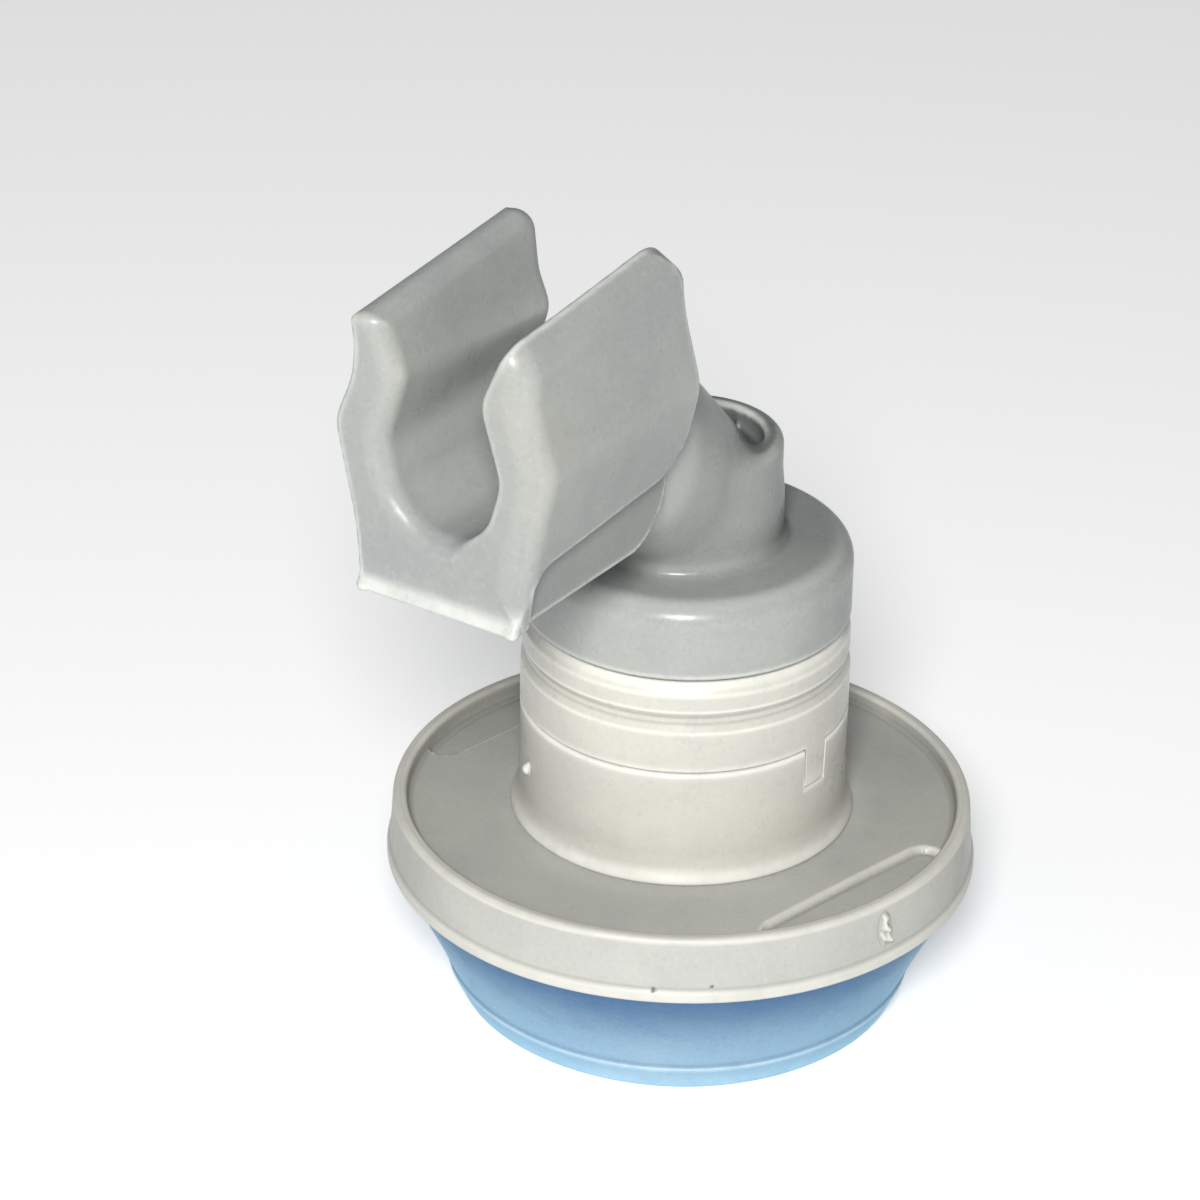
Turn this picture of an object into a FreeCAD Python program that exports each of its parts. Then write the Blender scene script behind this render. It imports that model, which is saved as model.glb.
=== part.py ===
import FreeCAD, Part
import os
from math import acos, cos, degrees, hypot, radians, sin, tan

# Pour spout: a tapered stopper under a dished flange, a neck, and a turret that turns on the
# neck to open and close the flow. The turret's arm feeds an open pour trough.
# Millimetres. Z is the turret's axis, Z = 0 is the stopper's small end, and the trough points
# along -Y. The base is drawn with its port along -Y and turned by base_turn at the end.

V = FreeCAD.Vector
ORIGIN = V(0, 0, 0)
UP = V(0, 0, 1)

# Driving sizes: stopper and flange
skirt_height = 12.6
skirt_bottom_r = 18.9
skirt_inset = 0.5
skirt_wall = 2.4
skirt_root_wall = 3.6
skirt_web = 1.7
skirt_spigot_step = 1.2
skirt_bead_height = 2.6
skirt_bead_proud = 0.18
flange_top_r = 25.0
flange_flare = 0.3
flange_height = 5.9
flange_bead_proud = 0.25
flange_bead_height = 0.9
rim_wall = 1.1
floor_depth = 1.05
floor_fall = 0.25
plate_thickness = 2.6
pocket_width = 4.65
pocket_half_length = 10.25
pocket_corner = 1.5
pocket_depth = 0.6
gate_size = (0.9, 1.3, 2.9)
gate_angle = 88.0

# Neck and inlet
neck_r = 14.1
neck_foot_flare = 0.9
neck_foot_height = 2.0
groove_height = 9.6
groove_gap = 0.3
neck_height = 17.75
barrel_bore_r = 11.2
spigot_height = 2.15
tube_r = 10.6
tube_wall = 1.4
tube_step = 1.2
inlet_ledge = 0.8
inlet_length = 4.5
nut_height = 3.6
nut_wall = 4.4
nut_grips = 12
nut_grip_r = 0.8
gasket_inset = 0.8
gasket_section = (2.0, 0.8)
collar_wall = 1.9
collar_lip = 1.1
collar_chamfer = 1.0
snap_bead = 0.3
ridge_heights = (13.25, 15.2)
ridge_groove_height = 14.4
ridge_groove_depth = 0.35
tab_width = 2.5
tab_length = 3.4
tab_depth = 0.8
tab_angle = 97.5
pip_r = 0.55
pip_height = 4.4
pip_angle = -24.0

# Valve discs
port_in_r = 2.4
port_wall = 1.2
port_half_angle = 35.0
disc_thickness = 2.0
plug_height = 3.1
seal_thickness = 0.7
rotor_flange = 1.8
washer_thickness = 0.5
o_ring_r = 0.65
air_r = 0.9
air_ring_r = 0.38
air_ring_circle = 1.55
air_ring_seat = (2.1, 0.8)
air_slot_half_angle = 14.0
stop_pin_r = 0.7
stop_pin_circle = 10.6
stop_slot_depth = 1.4
stop_pin_seat = 0.3
swing_open = -12.0
swing_shut = 78.0

# Turret
turret_gap = 0.4
cap_r = 14.0
cap_height = 6.85
cap_ceiling = 3.25
cap_round = 2.0
boss_r = 7.75
boss_height = 9.4
boss_wall = 1.65
boss_recess = 3.0
arm_r = 7.3
arm_angle = 46.5
arm_height = 2.5
arm_overrun = 12.0
bore_r = 3.5
bore_offset = 2.8
outlet_r = 2.6
outlet_height = 8.6
screw_r = 1.25
screw_head_r = 2.0
screw_head_height = 1.4
screw_head_room = 0.15
screw_cross = (2.4, 0.5, 0.5)
screw_wall = 0.9
screw_angle = 11.0
screw_bite = 2.1

# Trough
trough_drop = 7.65
trough_front = 35.95
trough_back = 14.0
trough_floor = 5.9
end_wall = 2.4
end_wall_height = 12.0
wing_front_height = 23.3
wing_back_height = 25.5
throat_front = 3.9
throat_back = 4.9
wing_corner = 2.4
near_wing_corner = 4.2
tip_rise = 0.5
panel_low_front = 4.7
panel_low_back = 6.3
panel_half_width = 7.7
panel_proud = 0.8
panel_rise = 5.0

# Vent
vent_tube_r = 2.4
vent_bore_r = 1.1
vent_socket = 2.0
vent_cage_wall = 0.6
vent_cage_floor = 1.0
vent_cage_height = 3.4
vent_cage_rise = 1.1
vent_gap = 0.85
ball_r = 1.5
ball_travel = 2.0
ball_room = 0.2
cage_hole_r = 0.9
screen_thickness = 0.4
screen_hole_r = 0.55
screen_pitch = 1.7
ring_height = 1.2
ring_width = 0.9
ring_split = 9.0

# Fits
slip = 0.05
running = 0.08
gap = 0.2
touch = 0.03

# Levels
rim_z = skirt_height + flange_height
floor_z = rim_z - floor_depth
plate_z = floor_z - plate_thickness
web_z = plate_z - skirt_web
shoulder_z = rim_z + groove_height - groove_gap
seat_z = shoulder_z + spigot_height
seal_z = seat_z + disc_thickness
rotor_z = seal_z + seal_thickness + slip
hub_z = rotor_z + rotor_flange
neck_top_z = rim_z + neck_height
lip_z = neck_top_z - collar_lip
cap_z = neck_top_z + turret_gap
cap_top_z = cap_z + cap_height
ceiling_z = cap_top_z - cap_ceiling
boss_top_z = cap_top_z + boss_height
arm_z = cap_top_z + arm_height
trough_z = cap_top_z + trough_drop
outlet_z = trough_z + outlet_height
end_wall_z = trough_z + end_wall_height
screen_z = inlet_length
ring_z = screen_z + screen_thickness
cage_z = ring_z + ring_height + vent_cage_rise
cage_r = vent_tube_r + slip + vent_cage_wall
air_offset = tube_r - tube_wall - vent_gap - cage_r
tube_end_z = cage_z + vent_cage_floor
ball_z = tube_end_z + (ball_r ** 2 - cage_hole_r ** 2) ** 0.5 + touch
base_turn = swing_open
stop_pin_angle = 90.0 + (swing_open + swing_shut) / 2.0

# Radii that follow from the fits
tube_bore_r = tube_r - tube_wall
inlet_r = tube_bore_r - inlet_ledge
gasket_r = tube_r + gasket_inset
flange_bottom_r = flange_top_r + flange_flare
skirt_top_r = flange_bottom_r - skirt_inset
pocket_chord = flange_top_r - rim_wall - pocket_width
collar_bore_r = neck_r - collar_wall
disc_r = collar_bore_r - slip
flange_r = collar_bore_r - gap
lip_r = barrel_bore_r - slip
hub_r = lip_r - running
cavity_r = hub_r + slip
hub_groove_r = cavity_r - 2 * o_ring_r - touch
port_out_r = hub_groove_r - port_wall
screw_circle = hub_groove_r - screw_r - screw_wall
skirt_spigot_r = skirt_top_r - skirt_spigot_step


def at(radius, angle, z=0.0):
    return V(radius * cos(radians(angle)), radius * sin(radians(angle)), z)


def rounded_wire(corners, place):
    """Closed wire through corners (a, b) or (a, b, fillet radius); place turns (a, b) into a point."""
    count = len(corners)
    starts, ends, middles = [], [], []
    for i, corner in enumerate(corners):
        a, b = corner[0], corner[1]
        r = corner[2] if len(corner) > 2 else 0.0
        back = (corners[i - 1][0] - a, corners[i - 1][1] - b)
        ahead = (corners[(i + 1) % count][0] - a, corners[(i + 1) % count][1] - b)
        lb, la = hypot(*back), hypot(*ahead)
        ub, ua = (back[0] / lb, back[1] / lb), (ahead[0] / la, ahead[1] / la)
        half = acos(max(-1.0, min(1.0, ub[0] * ua[0] + ub[1] * ua[1]))) / 2.0
        run = r / tan(half)
        bisector = (ub[0] + ua[0], ub[1] + ua[1])
        length = hypot(*bisector)
        reach = r / sin(half) - r
        middle = (a + bisector[0] / length * reach, b + bisector[1] / length * reach)
        middles.append(place(*middle) if r else None)
        starts.append(place(a + ub[0] * run, b + ub[1] * run))
        ends.append(place(a + ua[0] * run, b + ua[1] * run))
    edges = []
    for i in range(count):
        if middles[i] is not None:
            edges.append(Part.Arc(starts[i], middles[i], ends[i]).toShape())
        following = starts[(i + 1) % count]
        if ends[i].distanceToPoint(following) > 1e-6:
            edges.append(Part.LineSegment(ends[i], following).toShape())
    return Part.Wire(edges)


def turned(corners):
    """Solid of revolution about Z from (radius, z, fillet) corners."""
    wire = rounded_wire(corners, lambda r, z: V(r, 0, z))
    return Part.Face(wire).revolve(ORIGIN, UP, 360)


def ring(inner, outer, z0, z1):
    return turned([(inner, z0), (outer, z0), (outer, z1), (inner, z1)])


def rod(radius, z0, z1, centre=ORIGIN):
    return Part.makeCylinder(radius, z1 - z0, V(centre.x, centre.y, z0), UP)


def o_ring(radius, z, section=o_ring_r):
    return Part.makeTorus(radius, section, V(0, 0, z), UP)


def sector(inner, outer, middle, half, z0, z1, corner=0.0):
    """Part of a ring, between two angles about middle, with its upright edges rounded."""
    low, high = middle - half, middle + half
    edges = [
        Part.Arc(at(outer, low, z0), at(outer, middle, z0), at(outer, high, z0)).toShape(),
        Part.LineSegment(at(outer, high, z0), at(inner, high, z0)).toShape(),
        Part.Arc(at(inner, high, z0), at(inner, middle, z0), at(inner, low, z0)).toShape(),
        Part.LineSegment(at(inner, low, z0), at(outer, low, z0)).toShape(),
    ]
    solid = Part.Face(Part.Wire(edges)).extrude(V(0, 0, z1 - z0))
    upright = [e for e in solid.Edges if abs(e.Vertexes[0].Z - e.Vertexes[-1].Z) > 1e-6]
    return solid.makeFillet(corner, upright) if corner else solid


def arc_slot(circle, radius, middle, half, z0, z1):
    """Slot with round ends along an arc, wide enough for a pin of the given radius."""
    solid = sector(circle - radius, circle + radius, middle, half, z0, z1)
    for angle in (middle - half, middle + half):
        solid = solid.fuse(rod(radius, z0, z1, at(circle, angle)))
    return solid.removeSplitter()


def kidney(z0, z1, grow=0.0):
    return sector(port_in_r - grow, port_out_r + grow, -90.0, port_half_angle, z0, z1, 1.2)


def pin_place():
    return at(stop_pin_circle, stop_pin_angle - base_turn)


def stopper_skirt():
    """Soft tapered plug: a cup with a flat web that the nut clamps under the flange."""
    slope = (skirt_top_r - skirt_bottom_r) / skirt_height
    bead_r = skirt_bottom_r + slope * skirt_bead_height
    hub = tube_r + slip
    return turned([
        (hub, plate_z), (hub, web_z, 0.3), (skirt_top_r - skirt_root_wall, web_z, 2.0),
        (skirt_bottom_r - skirt_wall, 0.0, 0.7), (skirt_bottom_r + skirt_bead_proud, 0.0, 0.8),
        (bead_r + skirt_bead_proud, skirt_bead_height, 0.1), (bead_r, skirt_bead_height + 0.25, 0.2),
        (skirt_top_r, skirt_height), (skirt_spigot_r, skirt_height), (skirt_spigot_r, plate_z),
    ])


def pocket(side):
    """Shallow D-shaped pocket in the flange floor, cut up to the rim."""
    depth = floor_depth + floor_fall + pocket_depth
    blank = Part.makeBox(flange_top_r, 2 * pocket_half_length, depth,
                         V(pocket_chord, -pocket_half_length, rim_z - depth))
    inner = [e for e in blank.Edges if abs(e.Vertexes[0].X - pocket_chord) < 1e-6
             and abs(e.Vertexes[0].Z - e.Vertexes[-1].Z) > 1e-6]
    blank = blank.makeFillet(pocket_corner, inner)
    blank = blank.common(rod(flange_top_r - rim_wall + 0.25, rim_z - depth, rim_z))
    blank.rotate(ORIGIN, UP, 0.0 if side > 0 else 180.0)
    return blank


def flange_dish():
    inner_r = flange_top_r - rim_wall
    edge_z = floor_z - floor_fall
    dish = turned([
        (tube_r + slip, plate_z), (tube_r + slip, floor_z),
        (neck_r + 2 * neck_foot_flare, floor_z, 3.0), (inner_r - 0.2, edge_z, 0.4),
        (inner_r, rim_z, 0.35), (flange_top_r, rim_z, 0.5),
        (flange_bottom_r, skirt_height + flange_bead_height + 0.4, 0.4),
        (flange_bottom_r + flange_bead_proud, skirt_height + flange_bead_height, 0.3),
        (flange_bottom_r + flange_bead_proud, skirt_height, 0.3),
        (skirt_spigot_r, skirt_height), (skirt_spigot_r, plate_z),
    ])
    dish = dish.cut(pocket(1)).cut(pocket(-1))
    out, wide, tall = gate_size
    reach = flange_top_r + 0.6 * (flange_bottom_r - flange_top_r)
    gate = Part.makeBox(out + 1.0, wide, tall, V(reach - 1.0, -wide / 2.0, rim_z - tall - 1.0))
    gate = gate.makeFillet(0.25, [e for e in gate.Edges if e.BoundBox.XMin > reach])
    gate.rotate(ORIGIN, UP, gate_angle - 90.0)
    return dish.fuse(gate)


def foot_gasket():
    width, height = gasket_section
    return ring(gasket_r, gasket_r + width, floor_z, floor_z + height)


def neck_barrel():
    """Lower neck with its foot on the flange floor, and the inlet tube that goes through it."""
    width, height = gasket_section
    gasket_out = gasket_r + width
    step_z = floor_z + tube_step
    spigot_r = collar_bore_r - slip
    bead_z = shoulder_z + spigot_height / 2.0
    barrel = turned([
        (inlet_r, 0.0, 0.3), (tube_r, 0.0, 0.5), (tube_r, floor_z), (gasket_r, floor_z),
        (gasket_r, floor_z + height), (gasket_out, floor_z + height), (gasket_out, floor_z),
        (neck_r + neck_foot_flare, floor_z, 0.3), (neck_r, floor_z + neck_foot_height, 3.0),
        (neck_r, shoulder_z, 0.3), (spigot_r, shoulder_z), (spigot_r, bead_z - 0.5),
        (spigot_r + snap_bead, bead_z, 0.15), (spigot_r, bead_z + 0.5), (spigot_r, seat_z),
        (barrel_bore_r, seat_z), (barrel_bore_r, step_z + barrel_bore_r - tube_bore_r),
        (tube_bore_r, step_z), (tube_bore_r, inlet_length), (inlet_r, inlet_length),
    ])
    half = degrees((tab_width / 2.0 + gap) / neck_r)
    recess = sector(neck_r - tab_depth - slip, neck_r + 2.0, tab_angle - 90.0, half,
                    shoulder_z - tab_length - gap, shoulder_z + 1.0)
    pip = Part.makeSphere(pip_r, at(neck_r, pip_angle - 90.0, rim_z + pip_height))
    pip = pip.cut(rod(neck_r - 0.5, rim_z, rim_z + 2 * pip_height))
    return barrel.cut(recess).fuse(pip)


def base_nut():
    """Grooved ring nut on the inlet tube; it clamps the skirt and the flange to the barrel."""
    inner = tube_r + slip
    nut = turned([
        (inner, web_z - nut_height, 0.2), (inner + nut_wall, web_z - nut_height, 0.5),
        (inner + nut_wall, web_z, 0.3), (inner, web_z),
    ])
    for i in range(nut_grips):
        groove = at(inner + nut_wall + 0.2, 360.0 / nut_grips * i)
        nut = nut.cut(rod(nut_grip_r, web_z - nut_height, web_z, groove))
    return nut


def neck_collar():
    """Upper neck: snaps on the barrel and holds the valve discs down under its lip."""
    bottom = shoulder_z + groove_gap
    bead_z = shoulder_z + spigot_height / 2.0
    low, high = (rim_z + h for h in ridge_heights)
    groove_z = rim_z + ridge_groove_height
    inset = neck_r - ridge_groove_depth
    collar = turned([
        (collar_bore_r, bottom), (neck_r, bottom, 0.2), (neck_r, low, 0.35), (inset, groove_z - 0.35, 0.15),
        (inset, groove_z + 0.25, 0.15), (neck_r - 0.08, high, 0.35),
        (neck_r - 0.1, neck_top_z - collar_chamfer, 0.6), (neck_r - 0.85, neck_top_z, 0.4),
        (lip_r, neck_top_z, 0.15), (lip_r, lip_z), (collar_bore_r, lip_z),
        (collar_bore_r, bead_z + 0.6), (collar_bore_r + snap_bead, bead_z, 0.15),
        (collar_bore_r, bead_z - 0.6),
    ])
    half = degrees(tab_width / 2.0 / neck_r)
    tab = sector(neck_r - tab_depth, neck_r, tab_angle - 90.0, half,
                 shoulder_z - tab_length, bottom + 0.5)
    return collar.fuse(tab)


def port_disc():
    """Fixed valve seat: a flange on the barrel and a plug with an O-ring in its bore."""
    plug_r = barrel_bore_r - slip
    groove_z = seat_z - plug_height / 2.0
    groove_r = barrel_bore_r - 2 * o_ring_r - touch
    disc = turned([
        (0.0, seat_z - plug_height), (plug_r, seat_z - plug_height, 0.4),
        (plug_r, groove_z - o_ring_r - touch),
        (groove_r, groove_z - o_ring_r - touch), (groove_r, groove_z + o_ring_r + touch),
        (plug_r, groove_z + o_ring_r + touch), (plug_r, seat_z), (disc_r, seat_z), (disc_r, seal_z, 0.2),
        (0.0, seal_z),
    ])
    air = at(air_offset, 90.0)
    socket_top = seat_z - plug_height + vent_socket
    disc = disc.cut(kidney(seat_z - plug_height - 1.0, seal_z + 1.0))
    disc = disc.cut(rod(vent_tube_r + slip, seat_z - plug_height - 1.0, socket_top, air))
    disc = disc.cut(rod(air_r, socket_top - 1.0, seal_z + 1.0, air))
    disc = disc.cut(arc_slot(air_offset, air_r, 90.0, air_slot_half_angle, seal_z - 0.8, seal_z + 1.0))
    return disc.cut(rod(stop_pin_r, seat_z + stop_pin_seat, seal_z + 1.0, pin_place()))


def barrel_o_ring():
    return o_ring(barrel_bore_r - o_ring_r - touch / 2.0, seat_z - plug_height / 2.0)


def face_seal():
    seal = ring(1.2, disc_r, seal_z, seal_z + seal_thickness)
    seal = seal.cut(kidney(seal_z - 1.0, rotor_z + 1.0))
    seal = seal.cut(arc_slot(air_offset, air_r, 90.0, air_slot_half_angle, seal_z - 1.0, rotor_z + 1.0))
    return seal.cut(rod(stop_pin_r + slip, seal_z - 1.0, rotor_z + 1.0, pin_place()))


def stop_pin():
    top_z = rotor_z + stop_slot_depth - gap
    pin = rod(stop_pin_r, seat_z + stop_pin_seat, top_z, pin_place())
    return pin.makeChamfer(0.15, [e for e in pin.Edges if e.BoundBox.ZMin > rotor_z])


def thrust_washer():
    return ring(lip_r + gap, disc_r, lip_z - washer_thickness, lip_z)


def vent_place():
    return at(air_offset, 90.0)


def vent_tube():
    """Air pipe from the port disc down to its ball chamber."""
    top_z = seat_z - plug_height + vent_socket
    seat_drop = (ball_r ** 2 - vent_bore_r ** 2) ** 0.5
    seat = ball_z + ball_travel + touch + seat_drop
    tube = turned([
        (vent_bore_r, top_z), (vent_bore_r, seat), (ball_r + ball_room, seat - 0.4),
        (ball_r + ball_room, tube_end_z), (vent_tube_r, tube_end_z), (vent_tube_r, top_z, 0.2),
    ])
    tube.translate(vent_place())
    return tube


def vent_cage():
    """Cap on the pipe's end; its hole is smaller than the ball."""
    top_z = cage_z + vent_cage_height
    cage = turned([
        (cage_hole_r, cage_z), (cage_r, cage_z, 0.3), (cage_r, top_z, 0.3),
        (vent_tube_r + slip, top_z), (vent_tube_r + slip, tube_end_z), (cage_hole_r, tube_end_z),
    ])
    cage.translate(vent_place())
    return cage


def vent_ball():
    centre = vent_place()
    return Part.makeSphere(ball_r, V(centre.x, centre.y, ball_z))


def strainer_screen():
    """Thin disc with rows of holes."""
    screen = rod(tube_bore_r - slip, screen_z, screen_z + screen_thickness)
    reach = int(inlet_r / screen_pitch) + 1
    holes = []
    for row in range(-reach, reach + 1):
        for column in range(-reach, reach + 1):
            x = (column + 0.5 * (row % 2)) * screen_pitch
            y = row * screen_pitch * 0.866
            if hypot(x, y) < inlet_r - screen_hole_r - 0.3:
                holes.append(rod(screen_hole_r, screen_z - 1.0, screen_z + 1.0, V(x, y, 0)))
    return screen.cut(Part.makeCompound(holes))


def strainer_ring():
    """Split snap ring that holds the screen down on its ledge."""
    outer = tube_bore_r - slip
    hoop = turned([
        (outer - ring_width, ring_z, 0.2), (outer, ring_z), (outer, ring_z + ring_height, 0.2),
        (outer - ring_width, ring_z + ring_height, 0.2),
    ])
    top_z = ring_z + ring_height
    return hoop.cut(sector(outer - 2 * ring_width, outer + 1.0, 0.0, ring_split, ring_z - 1.0, top_z + 1.0))


def screw_places():
    return [at(screw_circle, screw_angle), at(screw_circle, 180.0 - screw_angle)]


def rotor_disc():
    """Turning valve disc: its hub runs in the collar's lip and plugs up into the cap."""
    groove_z = (cap_z + ceiling_z) / 2.0
    rotor = turned([
        (0.0, rotor_z), (flange_r, rotor_z, 0.2), (flange_r, hub_z, 0.2), (hub_r, hub_z),
        (hub_r, groove_z - o_ring_r - touch), (hub_groove_r, groove_z - o_ring_r - touch),
        (hub_groove_r, groove_z + o_ring_r + touch), (hub_r, groove_z + o_ring_r + touch),
        (hub_r, ceiling_z), (0.0, ceiling_z),
    ])
    air = at(air_offset, 90.0)
    rotor = rotor.cut(kidney(rotor_z - 1.0, ceiling_z + 1.0))
    rotor = rotor.cut(rod(air_r, rotor_z - 1.0, ceiling_z + 1.0, air))
    seat_r, seat_depth = air_ring_seat
    rotor = rotor.cut(rod(seat_r, ceiling_z - seat_depth, ceiling_z + 1.0, air))
    half = (swing_shut - swing_open) / 2.0
    rotor = rotor.cut(arc_slot(stop_pin_circle, stop_pin_r + gap / 2.0, 90.0, half + 1.0,
                               rotor_z - 1.0, rotor_z + stop_slot_depth))
    head_top = rotor_z + screw_head_room + screw_head_height
    for place in screw_places():
        rotor = rotor.cut(rod(screw_head_r + 0.1, rotor_z - 1.0, head_top, place))
        rotor = rotor.cut(rod(screw_r + slip, rotor_z, ceiling_z + 1.0, place))
    return rotor


def cap_screws():
    """Two flat-headed screws, up through the rotor into the cap, in one group."""
    long, wide, deep = screw_cross
    solids = []
    for place in screw_places():
        low = rotor_z + screw_head_room
        head = rod(screw_head_r, low, low + screw_head_height, place)
        head = head.makeChamfer(0.25, [e for e in head.Edges if e.BoundBox.ZMax < low + 0.1])
        shank = rod(screw_r, low + screw_head_height - 0.2, ceiling_z + screw_bite, place)
        cross = Part.makeBox(long, wide, deep, V(-long / 2.0, -wide / 2.0, low))
        cross = cross.fuse(Part.makeBox(wide, long, deep, V(-wide / 2.0, -long / 2.0, low)))
        cross.translate(place)
        solids.append(head.fuse(shank).cut(cross))
    return Part.makeCompound(solids)


def turret_o_ring():
    return o_ring(cavity_r - o_ring_r - touch / 2.0, (cap_z + ceiling_z) / 2.0)


def air_port_ring():
    ring_solid = o_ring(air_ring_circle, ceiling_z - air_ring_seat[1] / 2.0, air_ring_r)
    ring_solid.translate(at(air_offset, 90.0))
    return ring_solid


def arm_direction():
    return V(0, -cos(radians(arm_angle)), sin(radians(arm_angle)))


def arm_rod(radius, start, length):
    """Round bar along the arm's axis, start mm up the axis from where it meets Z."""
    direction = arm_direction()
    return Part.makeCylinder(radius, length, V(0, 0, arm_z) + direction * start, direction)


def arm_length():
    return (trough_back + end_wall + arm_overrun) / cos(radians(arm_angle))


def turret_arm():
    """Arm with a domed root; its end face closes the trough and its top is level with that wall."""
    end_y = -trough_back - end_wall
    root = Part.makeSphere(arm_r, V(0, 0, arm_z)).cut(rod(2 * cap_r, ceiling_z - 20.0, ceiling_z))
    beyond = Part.makeBox(4 * arm_r, 40.0, 60.0, V(-2 * arm_r, end_y - 40.0, cap_top_z))
    above = Part.makeBox(4 * arm_r, 60.0, 40.0, V(-2 * arm_r, -50.0, end_wall_z))
    below = Part.makeBox(4 * arm_r, 30.0, 20.0, V(-2 * arm_r, -trough_back - 30.0, trough_z - 20.0))
    return arm_rod(arm_r, 0.0, arm_length()).fuse(root).cut(beyond).cut(above).cut(below)


def flow_bore():
    """Liquid way: up from the rotor, along the arm, and level out through the arm's end face."""
    slope = tan(radians(arm_angle))
    low = V(0, -bore_offset, arm_z + bore_offset * slope)
    high = V(0, -bore_offset - (outlet_z - low.z) / slope, outlet_z)
    bore = rod(bore_r, ceiling_z - 1.0, low.z, low).fuse(Part.makeSphere(bore_r, low))
    bore = bore.fuse(Part.makeCylinder(outlet_r, (high - low).Length, low, high - low))
    bore = bore.fuse(Part.makeSphere(outlet_r, high))
    return bore.fuse(Part.makeCylinder(outlet_r, trough_back + end_wall + 1.0 + high.y, high, V(0, -1, 0)))


def turret_cap():
    """Cap, boss and inclined arm in one piece, with the liquid bore and the air hole."""
    cap = turned([
        (0.0, ceiling_z), (cavity_r, ceiling_z), (cavity_r, cap_z), (cap_r, cap_z, 0.4),
        (cap_r, cap_top_z, cap_round), (0.0, cap_top_z),
    ])
    boss = turned([(0.0, ceiling_z), (boss_r, ceiling_z), (boss_r, boss_top_z, 0.7), (0.0, boss_top_z)])
    recess = rod(boss_r - boss_wall, boss_top_z - boss_recess, boss_top_z + 1.0)
    body = cap.fuse(boss.cut(recess)).fuse(turret_arm()).cut(flow_bore())
    body = body.cut(rod(air_r, ceiling_z - 1.0, boss_top_z, at(air_offset, 90.0)))
    for place in screw_places():
        body = body.cut(rod(screw_r, ceiling_z - 1.0, ceiling_z + screw_bite, place))
    return body


def trough_section(y, wing_height, throat_x):
    """C-shaped section: thick bulged walls that pinch in to a throat and flare at the tips."""
    throat_z = wing_height - 4.4
    right = [
        (7.4, 0.0, 0.8), (8.0, 5.8, 8.0), (9.5, 14.0, 4.0), (7.8, throat_z - 1.0, 5.0),
        (7.5, throat_z + 2.0, 3.0), (8.0, wing_height, 1.1), (5.6, wing_height + tip_rise, 0.8),
        (throat_x, throat_z, 2.5), (5.6, throat_z - 6.2, 5.0), (3.6, trough_floor, 3.2),
    ]
    left = [(-x, w, r) for x, w, r in reversed(right)]
    return rounded_wire(right + left, lambda x, w: V(x, y, trough_z + w))


def side_outline(corners, x0, x1):
    """Prism across the trough from (y, height above the trough's underside, fillet) corners."""
    wire = rounded_wire(corners, lambda y, w: V(x0, y, trough_z + w))
    return Part.Face(wire).extrude(V(x1 - x0, 0, 0))


def pour_trough():
    """Open channel with an end wall; its side panels stand proud of the saddle on the arm."""
    front = trough_section(-trough_front, wing_front_height, throat_front)
    back = trough_section(-trough_back, wing_back_height, throat_back)
    channel = Part.makeLoft([front, back], True, True)
    wall = Part.makeBox(14.0, end_wall, end_wall_height - trough_floor + 1.0,
                        V(-7.0, -trough_back - end_wall, trough_z + trough_floor - 1.0))
    tall = wing_back_height + tip_rise + 1.0
    side = None
    for x0, corner in ((-20.0, wing_corner), (0.0, near_wing_corner)):
        half = side_outline([(-trough_front, 0.0, 0.5), (-trough_front, tall),
                             (-trough_back, tall - 1.0, corner), (-trough_back, 0.0, 6.0)], x0, x0 + 20.0)
        side = half if side is None else side.fuse(half)
    trough = channel.fuse(wall).common(side).removeSplitter()
    saddle = [
        (2.0 - trough_front, -1.0), (2.5 - trough_front, panel_low_front, 1.6),
        (-trough_back - 1.0, panel_low_back, 3.0), (0.6 - trough_back, panel_low_back + panel_rise, 2.0),
        (4.0 - trough_back, panel_low_back + panel_rise), (4.0 - trough_back, -1.0),
    ]
    inset = panel_half_width - panel_proud
    trough = trough.cut(side_outline(saddle, inset, 20.0)).cut(side_outline(saddle, -20.0, -inset))
    return trough.cut(turret_arm())


BASE = {
    "stopper_skirt": stopper_skirt, "flange_dish": flange_dish, "foot_gasket": foot_gasket,
    "neck_barrel": neck_barrel, "base_nut": base_nut, "neck_collar": neck_collar,
    "port_disc": port_disc, "barrel_o_ring": barrel_o_ring, "face_seal": face_seal,
    "stop_pin": stop_pin, "thrust_washer": thrust_washer, "vent_tube": vent_tube,
    "vent_cage": vent_cage, "vent_ball": vent_ball, "strainer_screen": strainer_screen,
    "strainer_ring": strainer_ring,
}
TURRET = {
    "rotor_disc": rotor_disc, "cap_screws": cap_screws, "turret_o_ring": turret_o_ring,
    "air_port_ring": air_port_ring, "turret_cap": turret_cap, "pour_trough": pour_trough,
}


def write(name, shape):
    solids = shape.Solids
    shape = solids[0] if len(solids) == 1 else Part.makeCompound(solids)
    box = shape.BoundBox
    print(f"{name:16s} solids {len(solids)} valid {shape.isValid()} volume {shape.Volume:9.1f} "
          f"z {box.ZMin:.2f} to {box.ZMax:.2f}")
    shape.exportStep(f"parts/{name}.step")


os.makedirs("parts", exist_ok=True)
for name, build in BASE.items():
    shape = build()
    shape.rotate(ORIGIN, UP, base_turn)
    write(name, shape)
for name, build in TURRET.items():
    write(name, build())
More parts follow.
